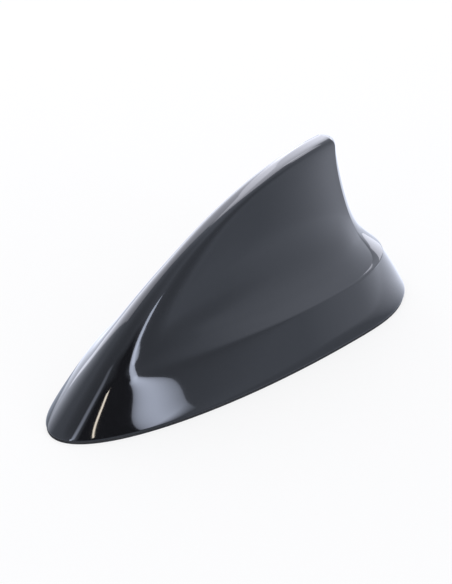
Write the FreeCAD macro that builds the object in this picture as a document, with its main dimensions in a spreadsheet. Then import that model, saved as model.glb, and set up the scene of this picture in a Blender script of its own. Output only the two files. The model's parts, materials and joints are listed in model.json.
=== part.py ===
"""Shark-fin roof antenna for a car: moulded fin cover over a die-cast base with its aerials and amplifier.

Frame: origin on the axis of the hollow fixing spigot, in the plane of the roof skin. +X points to the tail,
the nose points to -X, +Z is up. Millimetres.
"""
import FreeCAD, Part
import math
import os
import re
import Sketcher

# Driving dimensions, in millimetres unless the name says otherwise
SIZES = {
    # rim of the fin, where it meets the roof
    "fin_length": 165,
    "rim_half_width": 33.5,
    "nose_to_spigot": 80,
    "widest_share": 0.75,
    "tail_squareness": 2.3,
    # shoulder, the line where the skirt ends and the blade begins
    "shoulder_height": 17.4,
    "shoulder_front_inset": 18.3,
    "shoulder_rear_inset": 9.3,
    "shoulder_half_width": 26.9,
    "skirt_bulge": 1.12,
    # blade: its tip, its round spine and its flared flanks
    "tip_from_nose": 140.1,
    "tip_height": 61,
    "tip_radius": 3.5,
    "brow_reach": 25.4,
    "crown_reach": 58.6,
    "spine_radius": 3.8,
    "spine_blend": 7,
    "blade_half_width": 4.45,
    "flare_foot": 15.6,
    "flare_rise": 10.7,
    "flank_runout": 31,
    "flank_narrowing": 4.2,
    "narrowing_run": 45,
    "narrowing_blend": 6,
    # rounded trailing face behind the blade, and the crease that bounds it
    "tail_foot_reach": 7.2,
    "tail_foot_share": 0.2025,
    "tail_lean": 6.1,
    "tail_drop_share": 0.6,
    "tail_turn": 3,
    "crease_from_nose": 114,
    "crease_foot_reach": 46,
    "crease_foot_share": 0.0536,
    "crease_lean": 2.7,
    "crease_drop_share": 1.1014,
    "crease_tip_inset": 2.5,
    # moulded wall and the screw bosses inside it
    "wall": 2.5,
    "spine_wall": 8,
    "crown_depth": 11,
    "boss_radius": 3,
    "boss_edge_gap": 6,
    "nose_boss_inset": 22,
    "front_boss_inset": 52,
    "rear_boss_inset": 27,
    # rubber seals under the rim and round the spigot
    "seal_thickness": 1.0,
    "seal_reveal": 0.4,
    "seal_width": 6,
    "spigot_seal_radius": 15,
    # die-cast base plate, and the hollow threaded spigot set into it
    "plate_thickness": 3,
    "plate_clearance": 0.4,
    "flange_radius": 10.5,
    "flange_thickness": 1,
    "collar_radius": 8.5,
    "spigot_radius": 7,
    "spigot_length": 15,
    "spigot_chamfer": 0.8,
    "lead_bore_radius": 4.5,
    "standoff_radius": 2.5,
    "standoff_height": 4,
    # screws
    "cover_screw_radius": 1.25,
    "cover_screw_length": 10,
    "cover_screw_head_radius": 2.5,
    "cover_screw_head_height": 1.5,
    "board_screw_radius": 1.1,
    "board_screw_length": 4.2,
    "board_screw_head_radius": 2.2,
    "board_screw_head_height": 1.4,
    "screw_clearance": 0.05,
    # amplifier board and what it carries
    "board_front": 44,
    "board_rear": 54,
    "board_thickness": 1.6,
    "board_corner_radius": 2,
    "board_clearance": 1.2,
    "board_screw_inset": 3.6,
    "lead_hole_radius": 5,
    "patch_side": 25,
    "patch_height": 4,
    "patch_gap": 7.8,
    "feed_pin_radius": 0.6,
    "feed_pin_head_radius": 1.5,
    "feed_pin_head_height": 0.4,
    "feed_pin_tail": 0.8,
    "feed_pin_offset": 2,
    "shield_length": 30,
    "shield_width": 20,
    "shield_height": 3,
    "shield_sheet": 0.4,
    "shield_gap": 12,
    # upright aerial board in the blade, its solder brackets and its top plate
    "aerial_start": 10,
    "aerial_length": 36,
    "aerial_thickness": 1,
    "aerial_rise_share": 0.57,
    "aerial_chamfer": 10,
    "bracket_width": 5,
    "bracket_foot": 4,
    "bracket_leg": 5,
    "bracket_sheet": 0.5,
    "bracket_inset": 4,
    "top_plate_length": 22,
    "top_plate_depth": 7,
    "top_plate_sheet": 0.4,
}

SKIRT_ROWS = 5
BLADE_ROWS = 20
CROWN_ANGLES = (0, 20, 38, 54, 67, 77, 84, 87.5)
CORE_ROWS = 9
FLANK_POINTS = 33
REAR_POINTS = 17
FOOT_SLOPE = 0.55
CROWN_SLOPE = 0.35
SPINE_POWER = 4
NARROWING_POWER = 4
NARROWING_SHARE = 0.5
CORE_LIFT = 0.6
CORE_START = 0.3
POINT_SHARE = 0.3
NEAR = 0.001

doc = FreeCAD.newDocument("roof_antenna")
sheet = doc.addObject("Spreadsheet::Sheet", "dims")
for row, (name, value) in enumerate(SIZES.items(), start=1):
    sheet.set(f"A{row}", name)
    sheet.set(f"B{row}", str(value))
    sheet.setAlias(f"B{row}", name)
doc.recompute()


def size(name):
    """Value of one cell of the sheet."""
    return float(sheet.get(name))


def cells(text):
    """Turn the size names in an expression into references to the sheet."""
    return re.sub(r"[a-z]+(?:_[a-z]+)*", lambda word: "dims." + word.group(0), text)


def bind(item, **expressions):
    """Bind properties of an object to expressions in size names."""
    for prop, text in expressions.items():
        item.setExpression(prop, cells(text))


# Values that many pieces share
rim_height = size("seal_thickness")
shoulder = size("shoulder_height")
tip = size("tip_height")
wall = size("wall")
plate_top = rim_height + size("plate_thickness")
board_bottom = plate_top + size("standoff_height")
board_top = board_bottom + size("board_thickness")
deck_rear = size("fin_length") - size("shoulder_rear_inset")
blade_rise = tip - shoulder


# Form of the fin, with x measured from the nose

def bezier(points, t):
    """Point of a cubic curve."""
    weights = ((1 - t) ** 3, 3 * t * (1 - t) ** 2, 3 * t * t * (1 - t), t ** 3)
    return [sum(w * point[axis] for w, point in zip(weights, points)) for axis in (0, 1)]


def reach(points, axis, value):
    """Parameter of a rising cubic curve where one of its coordinates equals a value."""
    low, high = 0.0, 1.0
    for _ in range(50):
        middle = (low + high) / 2
        if bezier(points, middle)[axis] < value:
            low = middle
        else:
            high = middle
    return (low + high) / 2


def at_height(points, height):
    """First coordinate of a rising cubic curve where its second one equals the height."""
    return bezier(points, reach(points, 1, height))[0]


def ease(share):
    """Smooth rise from 0 to 1."""
    share = min(max(share, 0.0), 1.0)
    return share * share * (3 - 2 * share)


def fullness(share):
    """Half width of an outline along its length, from 0 at the nose to 1 at the widest station and 0 at the tail."""
    widest = size("widest_share")
    power = size("tail_squareness")
    share = min(max(share, 0.0), 1.0)
    if share < widest:
        return math.sqrt(1 - ((widest - share) / widest) ** 2)
    return max(1 - ((share - widest) / (1 - widest)) ** power, 0.0) ** (1 / power)


brow_run = size("shoulder_front_inset") * size("skirt_bulge")
brow_rise = shoulder - rim_height
brow_unit = math.hypot(brow_run, brow_rise)
crown_x = size("tip_from_nose") - size("tip_radius")
crease_tip_x = size("tip_from_nose") - size("crease_tip_inset")
brow = (size("shoulder_front_inset"), shoulder)
SPINE = (brow,
         (brow[0] + size("brow_reach") * brow_run / brow_unit, brow[1] + size("brow_reach") * brow_rise / brow_unit),
         (crown_x - size("crown_reach"), tip),
         (crown_x, tip))
TRAIL = ((deck_rear, shoulder),
         (deck_rear - size("tail_foot_reach"), shoulder + size("tail_foot_share") * blade_rise),
         (size("tip_from_nose") + size("tail_lean"), tip - size("tail_drop_share") * blade_rise),
         (size("tip_from_nose"), tip))
CREASE = ((size("crease_from_nose"), shoulder),
          (size("crease_from_nose") + size("crease_foot_reach"), shoulder + size("crease_foot_share") * blade_rise),
          (crease_tip_x + size("crease_lean"), tip - size("crease_drop_share") * blade_rise),
          (crease_tip_x, tip))
FLANK = ((size("shoulder_half_width"), shoulder),
         (size("shoulder_half_width") - size("flare_foot"), shoulder + FOOT_SLOPE * size("flare_foot")),
         (size("blade_half_width") + CROWN_SLOPE * size("flare_rise"), shoulder + size("flare_rise")),
         (size("blade_half_width"), tip))


def tip_cut(height):
    """How far the rounding of the tip takes the trailing edge forward."""
    radius = size("tip_radius")
    above = max(height - (tip - radius), 0.0)
    return radius - math.sqrt(max(radius ** 2 - above ** 2, 0.0))


def crease_station(height):
    """Where the crease stands at a height; it meets the trailing edge in the rounding of the tip."""
    cut_share = tip_cut(height) / size("tip_radius")
    return at_height(CREASE, height) - tip_cut(height) + size("crease_tip_inset") * cut_share ** 2


def spine_half_width(station, height):
    """Half width of the round spine at a height, by its depth under the spine line."""
    radius = size("spine_radius") * ease((height - shoulder) / size("spine_blend"))
    t = reach(SPINE, 0, station)
    x, z = bezier(SPINE, t)
    next_x, next_z = bezier(SPINE, t + NEAR)
    depth = (z - height) * (next_x - x) / math.hypot(next_x - x, next_z - z)
    share = min(max(depth / radius, 0.0), 1.0)
    return radius * math.sqrt(1 - (1 - share) ** 2)


def narrowing(station, height):
    """How far the flanks draw in towards the crease, less than a share of the blade's half width."""
    most = NARROWING_SHARE * at_height(FLANK, height)
    depth = (size("flank_narrowing") ** -NARROWING_POWER + most ** -NARROWING_POWER) ** (-1 / NARROWING_POWER)
    near = max(1 - (crease_station(height) - station) / size("narrowing_run"), 0.0)
    return depth * ease((height - shoulder) / size("narrowing_blend")) * near ** NARROWING_POWER


def skirt_outline(height, inset=0.0):
    """Nose, tail and half width of the skirt at a height, moved inwards by an inset."""
    share = ((height - rim_height) / (shoulder - rim_height)) ** size("skirt_bulge")
    nose = size("shoulder_front_inset") * share + inset
    tail = size("fin_length") - size("shoulder_rear_inset") * share - inset
    half = size("rim_half_width") + (size("shoulder_half_width") - size("rim_half_width")) * share - inset
    return nose, tail, half


def skirt_half_width(station, height, inset=0.0):
    """Half width of the skirt at a distance from the nose."""
    nose, tail, half = skirt_outline(height, inset)
    return half * fullness((station - nose) / (tail - nose))


def merge_share():
    """Station where the crease runs into the shoulder, along the shoulder's outline."""
    nose, tail, half = skirt_outline(shoulder)
    return (size("crease_from_nose") - nose) / (tail - nose)


def flank_curve(nose, tail, half, end_share):
    """Points of an outline from one flank round the nose to the other flank."""
    points = []
    for index in range(FLANK_POINTS):
        angle = math.pi * (index / (FLANK_POINTS - 1) - 0.5)
        share = end_share * (1 - math.cos(angle))
        points.append((nose + (tail - nose) * share, math.copysign(half * fullness(share), angle)))
    middle = FLANK_POINTS // 2
    points[middle] = (nose, 0.0)
    return points


def rear_curve(nose, tail, half, start_share):
    """Points of an outline from one flank round the tail to the other flank."""
    start = math.acos(1 - 2 * start_share)
    points = []
    for index in range(REAR_POINTS):
        turn = 1 - abs(2 * index / (REAR_POINTS - 1) - 1)
        share = (1 - math.cos(start + (math.pi - start) * turn)) / 2
        side = 1 if index < REAR_POINTS // 2 else -1
        points.append((nose + (tail - nose) * share, side * half * fullness(share)))
    points[REAR_POINTS // 2] = (tail, 0.0)
    return points


def skirt_section(height, inset=0.0):
    """Flank and rear points of the skirt at a height."""
    nose, tail, half = skirt_outline(height, inset)
    share = merge_share()
    return flank_curve(nose, tail, half, share), rear_curve(nose, tail, half, share)


def core_outline(height, inset=0.0):
    """Flank and rear points of the hollow inside the skirt at a height, moved inwards by an inset."""
    return skirt_section(min(height + CORE_LIFT * wall, shoulder), wall + inset)


def blade_section(height):
    """Flank and rear points of the blade at a height."""
    nose = at_height(SPINE, height)
    far = deck_rear + size("flank_runout") * (height - shoulder) / blade_rise
    crease = crease_station(height)
    trail = at_height(TRAIL, height) - tip_cut(height)
    flank = []
    for x, y in flank_curve(nose, far, at_height(FLANK, height), (crease - nose) / (far - nose)):
        body = max(abs(y) - narrowing(x, height), 0.0)
        width = (body ** SPINE_POWER + spine_half_width(x, height) ** SPINE_POWER) ** (1 / SPINE_POWER)
        flank.append((x, math.copysign(width, y)))
    flank[FLANK_POINTS // 2] = (nose, 0.0)
    base_nose, base_tail, base_half = skirt_outline(shoulder)
    base = rear_curve(base_nose, base_tail, base_half, merge_share())
    start_x, start_y = base[0]
    share = math.exp((shoulder - height) / size("tail_turn"))
    rear = []
    for index, (x, y) in enumerate(base):
        round_y = math.cos(math.pi * index / (REAR_POINTS - 1))
        run = share * (x - start_x) / (base_tail - start_x) + (1 - share) * (1 - round_y ** 2)
        side = share * y / start_y + (1 - share) * round_y
        rear.append((crease + run * (trail - crease), side * flank[-1][1]))
    return flank, rear


def core_section(height):
    """Flank and straight back of the hollow inside the blade, for the outside at a height."""
    nose = at_height(SPINE, height) + size("spine_wall")
    far = deck_rear + size("flank_runout") * (height - shoulder) / blade_rise
    back = min(at_height(CREASE, height), at_height(TRAIL, height)) - wall
    half = at_height(FLANK, height)
    outline = flank_curve(nose, far, half - wall, (back - nose) / (far - nose))
    flank = [(x, y * (1 - narrowing(x, height) / half)) for x, y in outline]
    return flank, [flank[-1], flank[0]]


def row_point(point, height=0.0):
    """Point of the fin's outline in the frame of the part."""
    return FreeCAD.Vector(point[0] - size("nose_to_spigot"), point[1], height)


def smooth_curve(places):
    """Smooth curve through places, evenly spaced in its parameter."""
    curve = Part.BSplineCurve()
    last = len(places) - 1
    curve.interpolate(Points=places, Parameters=[index / last for index in range(last + 1)])
    return curve


def add_spline(sketch, points):
    """Add a smooth curve through points, or a straight line through two, to a sketch."""
    places = [row_point(point) for point in points]
    curve = Part.LineSegment(*places) if len(places) == 2 else smooth_curve(places)
    sketch.addGeometry(curve, False)


def skin(lines, levels):
    """Smooth surface through level lines of equal point count, each at its own value of the rising parameter."""
    across = [smooth_curve(line) for line in lines]
    poles = []
    for column in zip(*[curve.getPoles() for curve in across]):
        rising = Part.BSplineCurve()
        rising.interpolate(Points=list(column), Parameters=levels)
        poles.append(rising.getPoles())
    surface = Part.BSplineSurface()
    surface.buildFromPolesMultsKnots(poles, across[0].getMultiplicities(), rising.getMultiplicities(),
                                     across[0].getKnots(), rising.getKnots(), False, False,
                                     across[0].Degree, rising.Degree)
    return surface.toShape()


def skinned_faces(sections, levels):
    """Flank and rear faces through level sections, each given as its height and its two curves."""
    faces = []
    for part in (0, 1):
        lines = [[row_point(point, height) for point in curves[part]] for height, curves in sections]
        faces.append(skin(lines, levels))
    return faces


def level_face(height, curves):
    """Flat face inside a level section."""
    edges = [smooth_curve([row_point(point, height) for point in points]).toShape() for points in curves]
    return Part.Face(Part.Wire(edges))


def loft(name, sections):
    """Solid through level sections, each given as its height and its curves."""
    sketches = []
    for index, (height, curves) in enumerate(sections):
        sketch = doc.addObject("Sketcher::SketchObject", f"{name}_section_{index}")
        for points in curves:
            add_spline(sketch, points)
        sketch.Placement.Base = FreeCAD.Vector(0, 0, height)
        sketches.append(sketch)
    solid = doc.addObject("Part::Loft", name)
    solid.Sections = sketches
    solid.Solid = True
    solid.Ruled = False
    return solid


def rows(low, high, count):
    """Evenly spaced values from low to high."""
    return [low + (high - low) * index / (count - 1) for index in range(count)]


# Solids shared by the pieces

def cylinder(name, radius, height, place):
    """Upright cylinder whose size is bound to the sheet."""
    item = doc.addObject("Part::Cylinder", name)
    bind(item, Radius=radius, Height=height)
    item.Placement.Base = FreeCAD.Vector(*place)
    return item


def box(name, length, width, height, place):
    """Box whose size is bound to the sheet, placed by its lowest corner."""
    item = doc.addObject("Part::Box", name)
    bind(item, Length=length, Width=width, Height=height)
    item.Placement.Base = FreeCAD.Vector(*place)
    return item


def join(name, items):
    """Union of solids."""
    item = doc.addObject("Part::MultiFuse", name)
    item.Shapes = items
    item.Refine = True
    return item


def cut(name, base, tool):
    """Base solid less a tool solid."""
    item = doc.addObject("Part::Cut", name)
    item.Base = base
    item.Tool = tool
    return item


def group(name, items):
    """Equal pieces that share one node."""
    item = doc.addObject("Part::Compound", name)
    item.Links = items
    return item


def plane(body, role):
    """One of a body's own origin planes."""
    return [feature for feature in body.Origin.OriginFeatures if feature.Role == role][0]


def new_sketch(body, name, role="XY_Plane", offset=0.0):
    """Sketch on one of the body's origin planes, lifted by an offset along the plane's normal."""
    sketch = body.newObject("Sketcher::SketchObject", name)
    sketch.AttachmentSupport = [(plane(body, role), "")]
    sketch.MapMode = "FlatFace"
    sketch.AttachmentOffset = FreeCAD.Placement(FreeCAD.Vector(0, 0, offset), FreeCAD.Rotation())
    return sketch


def add_circle(sketch, place, radius):
    """Circle at a place, with its radius bound to the sheet."""
    centre = FreeCAD.Vector(place[0], place[1], 0)
    index = sketch.addGeometry(Part.Circle(centre, FreeCAD.Vector(0, 0, 1), 1), False)
    sketch.addConstraint(Sketcher.Constraint("DistanceX", -1, 1, index, 3, place[0]))
    sketch.addConstraint(Sketcher.Constraint("DistanceY", -1, 1, index, 3, place[1]))
    rule = sketch.addConstraint(Sketcher.Constraint("Radius", index, 1))
    sketch.setExpression(f"Constraints[{rule}]", cells(radius))


def add_polygon(sketch, corners):
    """Closed outline of straight lines."""
    count = len(corners)
    for index in range(count):
        ends = [FreeCAD.Vector(*corners[(index + step) % count], 0) for step in (0, 1)]
        sketch.addGeometry(Part.LineSegment(*ends), False)
    for index in range(count):
        sketch.addConstraint(Sketcher.Constraint("Coincident", index, 2, (index + 1) % count, 1))


def pad(body, name, sketch, length, reverse=False):
    """Raise a sketch by a length bound to the sheet."""
    feature = body.newObject("PartDesign::Pad", name)
    feature.Profile = sketch
    feature.Reversed = reverse
    bind(feature, Length=length)
    return feature


def pocket(body, name, sketch, length, upwards):
    """Sink a sketch by a length bound to the sheet and check that it removed material."""
    doc.recompute()
    before = body.Shape.Volume
    feature = body.newObject("PartDesign::Pocket", name)
    feature.Profile = sketch
    feature.Reversed = upwards
    bind(feature, Length=length)
    doc.recompute()
    if body.Shape.Volume >= before:
        raise RuntimeError(f"{name} cuts nothing")
    return feature


def ring_edges(shape, radius, height):
    """Names of a shape's round edges of a radius at a height."""
    names = []
    for index, edge in enumerate(shape.Edges, start=1):
        if isinstance(edge.Curve, Part.Circle):
            ring = edge.Curve
            if abs(ring.Radius - radius) < NEAR and abs(ring.Center.z - height) < NEAR:
                names.append(f"Edge{index}")
    return names


# Stations of the screws
spigot_x = size("nose_to_spigot")


def boss_places():
    """Centres of the cover's screw bosses."""
    places = [(size("nose_boss_inset") - spigot_x, 0.0)]
    for station in (size("front_boss_inset"), size("fin_length") - size("rear_boss_inset")):
        side = skirt_half_width(station, rim_height) - wall - size("boss_edge_gap")
        places += [(station - spigot_x, side), (station - spigot_x, -side)]
    return places


boss_spots = boss_places()
board_half = min(abs(y) for x, y in boss_spots if y) - size("boss_radius") - size("board_clearance")
board_spots = [(x, y) for x in (size("board_screw_inset") - size("board_front"),
                                size("board_rear") - size("board_screw_inset"))
               for y in (board_half - size("board_screw_inset"), size("board_screw_inset") - board_half)]


# Fin cover: one moulding, its outside skinned through level sections, hollowed by a core that leaves the bosses

def crease_rows():
    """Heights of the blade's sections and the length of the crease up to each of them."""
    foot = [bezier(CREASE, t)[1] for t in rows(0, 1, BLADE_ROWS)]
    top = tip - size("tip_radius")
    heights = [height for height in foot if height < top - size("tip_radius")]
    heights += [top + size("tip_radius") * math.sin(math.radians(angle)) for angle in CROWN_ANGLES]
    places = [(crease_station(height), height) for height in heights]
    lengths = [0.0]
    for start, end in zip(places, places[1:]):
        lengths.append(lengths[-1] + math.dist(start, end))
    return heights, lengths


def make_cover_outside():
    heights = rows(rim_height, shoulder, SKIRT_ROWS)
    skirt = [(height, skirt_section(height)) for height in heights]
    levels, lengths = crease_rows()
    blade = [(shoulder, skirt_section(shoulder))] + [(height, blade_section(height)) for height in levels[1:]]
    faces = skinned_faces(skirt, heights) + skinned_faces(blade, lengths)
    faces += [level_face(*skirt[0]), level_face(*blade[-1])]
    shell = Part.makeShell(faces)
    shell.sewShape()
    solid = Part.makeSolid(shell)
    if solid.Volume < 0:
        solid.reverse()
    item = doc.addObject("Part::Feature", "cover_outside")
    item.Shape = solid
    return item


def make_fin_cover():
    outside = make_cover_outside()
    core_top = shoulder - wall
    core_heights = rows(rim_height, core_top, SKIRT_ROWS)
    core_skirt = loft("core_skirt", [(height, core_outline(height)) for height in core_heights])
    outer_levels = rows(bezier(CREASE, CORE_START)[1], tip - size("crown_depth") + wall, CORE_ROWS)
    core_levels = [(level - wall, core_section(level)) for level in outer_levels]
    core_blade = loft("core_blade", [(core_top - wall, core_levels[0][1])] + core_levels)
    core = join("cover_core", [core_skirt, core_blade])
    bosses = [cylinder(f"cover_boss_{index}", "boss_radius", "tip_height", (x, y, plate_top))
              for index, (x, y) in enumerate(boss_spots)]
    hollow = cut("cover_hollow", core, group("cover_bosses", bosses))
    shell = cut("cover_shell", outside, hollow)
    pilots = [cylinder(f"cover_pilot_{index}", "cover_screw_radius + screw_clearance",
                       "cover_screw_head_height + cover_screw_length + screw_clearance", (x, y, rim_height))
              for index, (x, y) in enumerate(boss_spots)]
    return cut("fin_cover", shell, group("cover_pilots", pilots))


# Roof seal: flat rubber gasket under the rim of the cover and the edge of the base plate

def make_roof_seal():
    body = doc.addObject("PartDesign::Body", "roof_seal")
    sketch = new_sketch(body, "roof_seal_outline")
    for inset in (size("seal_reveal"), size("seal_width")):
        for points in skirt_section(rim_height, inset):
            add_spline(sketch, points)
    pad(body, "roof_seal_pad", sketch, "seal_thickness")
    return body


# Spigot seal: rubber ring round the spigot's collar

def make_spigot_seal():
    body = doc.addObject("PartDesign::Body", "spigot_seal")
    sketch = new_sketch(body, "spigot_seal_outline")
    add_circle(sketch, (0, 0), "spigot_seal_radius")
    add_circle(sketch, (0, 0), "collar_radius + screw_clearance")
    pad(body, "spigot_seal_pad", sketch, "seal_thickness")
    return body


# Base plate: die casting with standoffs for the board and a hole for the spigot

def make_base_plate():
    body = doc.addObject("PartDesign::Body", "base_plate")
    outline = new_sketch(body, "plate_outline", offset=rim_height)
    for points in core_outline(plate_top, size("plate_clearance")):
        add_spline(outline, points)
    pad(body, "plate_pad", outline, "plate_thickness")
    posts = new_sketch(body, "standoff_circles", offset=plate_top)
    for place in board_spots:
        add_circle(posts, place, "standoff_radius")
    pad(body, "standoffs", posts, "standoff_height")
    through = new_sketch(body, "plate_hole_circles", offset=plate_top)
    sinks = new_sketch(body, "cover_screw_sink_circles", offset=rim_height)
    add_circle(through, (0, 0), "collar_radius + screw_clearance")
    for place in boss_spots:
        add_circle(through, place, "cover_screw_radius + screw_clearance")
        add_circle(sinks, place, "cover_screw_head_radius + screw_clearance")
    pocket(body, "plate_holes", through, "plate_thickness", upwards=False)
    pocket(body, "cover_screw_sinks", sinks, "cover_screw_head_height", upwards=True)
    taps = new_sketch(body, "board_screw_circles", offset=board_bottom)
    for place in board_spots:
        add_circle(taps, place, "board_screw_radius + screw_clearance")
    pocket(body, "board_screw_taps", taps, "board_screw_length", upwards=False)
    return body


# Fixing spigot: hollow threaded stud, with a flange on the plate and a collar through plate and seal

def make_fixing_spigot():
    body = doc.addObject("PartDesign::Body", "fixing_spigot")
    flange = new_sketch(body, "flange_circle", offset=plate_top)
    add_circle(flange, (0, 0), "flange_radius")
    pad(body, "flange", flange, "flange_thickness")
    collar = new_sketch(body, "collar_circle", offset=plate_top)
    add_circle(collar, (0, 0), "collar_radius")
    pad(body, "collar", collar, "plate_thickness + seal_thickness", reverse=True)
    stem = new_sketch(body, "stem_circle")
    add_circle(stem, (0, 0), "spigot_radius")
    pad(body, "stem", stem, "spigot_length", reverse=True)
    bore = new_sketch(body, "bore_circle", offset=plate_top + size("flange_thickness"))
    add_circle(bore, (0, 0), "lead_bore_radius")
    turned = pocket(body, "lead_bore", bore,
                    "flange_thickness + plate_thickness + seal_thickness + spigot_length", upwards=False)
    chamfer = body.newObject("PartDesign::Chamfer", "spigot_lead_in")
    chamfer.Base = (turned, ring_edges(turned.Shape, size("spigot_radius"), -size("spigot_length")))
    bind(chamfer, Size="spigot_chamfer")
    return body


# Screws: round head, shank and point

def screw(name, kind, place, upwards):
    head = cylinder(name + "_head", f"{kind}_head_radius", f"{kind}_head_height", (0, 0, 0))
    shank = cylinder(name + "_shank", f"{kind}_radius", f"{kind}_head_height + {kind}_length - 2 * {kind}_radius",
                     (0, 0, 0))
    point = doc.addObject("Part::Cone", name + "_point")
    bind(point, Radius1=f"{kind}_radius", Radius2=f"{kind}_radius * {POINT_SHARE}", Height=f"2 * {kind}_radius")
    point.Placement.Base.z = size(f"{kind}_head_height") + size(f"{kind}_length") - 2 * size(f"{kind}_radius")
    item = join(name, [head, shank, point])
    turn = FreeCAD.Rotation(FreeCAD.Vector(1, 0, 0), 0 if upwards else 180)
    item.Placement = FreeCAD.Placement(FreeCAD.Vector(*place), turn)
    return item


def make_cover_screws():
    return group("cover_screws", [screw(f"cover_screw_{index}", "cover_screw", (x, y, rim_height), True)
                                  for index, (x, y) in enumerate(boss_spots)])


def make_board_screws():
    top = board_top + size("board_screw_head_height")
    return group("board_screws", [screw(f"board_screw_{index}", "board_screw", (x, y, top), False)
                                  for index, (x, y) in enumerate(board_spots)])


# Amplifier board: printed board with its screw holes, the hole for the leads and the hole for the feed pin

patch_x = size("patch_gap") - size("board_front")
feed_x = patch_x + size("patch_side") / 2 + size("feed_pin_offset")


def make_circuit_board():
    body = doc.addObject("PartDesign::Body", "circuit_board")
    sketch = new_sketch(body, "board_outline", offset=board_bottom)
    front = -size("board_front")
    rear = size("board_rear")
    add_polygon(sketch, [(front, -board_half), (rear, -board_half), (rear, board_half), (front, board_half)])
    blank = pad(body, "board_pad", sketch, "board_thickness")
    doc.recompute()
    corners = [f"Edge{index}" for index, edge in enumerate(body.Shape.Edges, start=1)
               if abs(edge.Vertexes[0].Z - edge.Vertexes[-1].Z) > size("board_thickness") / 2]
    rounding = body.newObject("PartDesign::Fillet", "board_corners")
    rounding.Base = (blank, corners)
    bind(rounding, Radius="board_corner_radius")
    holes = new_sketch(body, "board_holes", offset=board_top)
    for place in board_spots:
        add_circle(holes, place, "board_screw_radius + screw_clearance")
    add_circle(holes, (0, 0), "lead_hole_radius")
    add_circle(holes, (feed_x, 0), "feed_pin_radius + screw_clearance")
    pocket(body, "board_drilling", holes, "board_thickness", upwards=False)
    return body


# Satellite navigation patch: ceramic block on the front of the board, with the pin that feeds it

def make_satnav_patch():
    side = size("patch_side")
    block = box("patch_block", "patch_side", "patch_side", "patch_height", (patch_x, -side / 2, board_top))
    hole = cylinder("patch_hole", "feed_pin_radius + screw_clearance", "patch_height", (feed_x, 0, board_top))
    return cut("satnav_patch", block, hole)


def make_feed_pin():
    low = board_bottom - size("feed_pin_tail")
    top = board_top + size("patch_height")
    stem = cylinder("pin_stem", "feed_pin_radius", "feed_pin_tail + board_thickness + patch_height", (feed_x, 0, low))
    head = cylinder("pin_head", "feed_pin_head_radius", "feed_pin_head_height", (feed_x, 0, top))
    return join("patch_feed_pin", [stem, head])


# Amplifier shield: pressed can under the rear of the board, open towards it

def make_shield():
    sheet_metal = size("shield_sheet")
    low = board_bottom - size("shield_height")
    place = (size("shield_gap"), -size("shield_width") / 2, low)
    outer = box("shield_outer", "shield_length", "shield_width", "shield_height", place)
    inside = box("shield_inner", "shield_length - 2 * shield_sheet", "shield_width - 2 * shield_sheet",
                 "shield_height", [value + sheet_metal for value in place])
    return cut("amplifier_shield", outer, inside)


# Upright aerial board in the blade, held on the amplifier board by solder brackets

aerial_top = shoulder + size("aerial_rise_share") * blade_rise


def make_aerial_board():
    body = doc.addObject("PartDesign::Body", "aerial_board")
    sketch = new_sketch(body, "aerial_outline", role="XZ_Plane")
    front = size("aerial_start")
    rear = front + size("aerial_length")
    add_polygon(sketch, [(front, board_top), (rear, board_top), (rear, aerial_top),
                         (front + size("aerial_chamfer"), aerial_top), (front, aerial_top - size("aerial_chamfer"))])
    feature = pad(body, "aerial_pad", sketch, "aerial_thickness")
    feature.SideType = "Symmetric"
    return body


def make_aerial_brackets():
    brackets = []
    half = size("aerial_thickness") / 2
    width = size("bracket_width")
    front = size("aerial_start") + size("bracket_inset")
    rear = size("aerial_start") + size("aerial_length") - size("bracket_inset") - width
    for index, x in enumerate((front, rear)):
        for side in (1, -1):
            name = f"aerial_bracket_{index}_{'left' if side > 0 else 'right'}"
            leg_y = half if side > 0 else -half - size("bracket_sheet")
            foot_y = half if side > 0 else -half - size("bracket_foot")
            leg = box(name + "_leg", "bracket_width", "bracket_sheet", "bracket_leg", (x, leg_y, board_top))
            foot = box(name + "_foot", "bracket_width", "bracket_foot", "bracket_sheet", (x, foot_y, board_top))
            brackets.append(join(name, [leg, foot]))
    return group("aerial_brackets", brackets)


def make_top_plate():
    rear = size("aerial_start") + size("aerial_length")
    front = rear - size("top_plate_length")
    half = size("aerial_thickness") / 2
    sheet_metal = size("top_plate_sheet")
    low = aerial_top - size("top_plate_depth")
    folded = box("top_plate_outer", "top_plate_length", "aerial_thickness + 2 * top_plate_sheet",
                 "top_plate_depth + top_plate_sheet", (front, -half - sheet_metal, low))
    slot = box("top_plate_slot", "top_plate_length", "aerial_thickness", "top_plate_depth", (front, -half, low))
    return cut("top_load_plate", folded, slot)


pieces = [make_fin_cover(), make_roof_seal(), make_spigot_seal(), make_base_plate(), make_fixing_spigot(),
          make_cover_screws(), make_circuit_board(), make_board_screws(), make_satnav_patch(), make_feed_pin(),
          make_shield(), make_aerial_board(), make_aerial_brackets(), make_top_plate()]
doc.recompute()

for item in doc.Objects:
    if "Invalid" in item.State or "Error" in item.State:
        raise RuntimeError(f"{item.Label} failed: {item.State}")
for piece in pieces:
    if piece.Shape.isNull() or not piece.Shape.isValid():
        raise RuntimeError(f"{piece.Label} has no valid shape")

os.makedirs("parts", exist_ok=True)
for piece in pieces:
    piece.Shape.exportStep(f"parts/{piece.Label}.step")
    print(piece.Label, len(piece.Shape.Solids), round(piece.Shape.Volume, 1))
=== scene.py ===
"""Studio scene of a shark-fin car roof antenna: glossy cover, materials, floor, lamps and camera."""
import json
import math
import bpy
import numpy as np
from mathutils import Matrix, Vector


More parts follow.
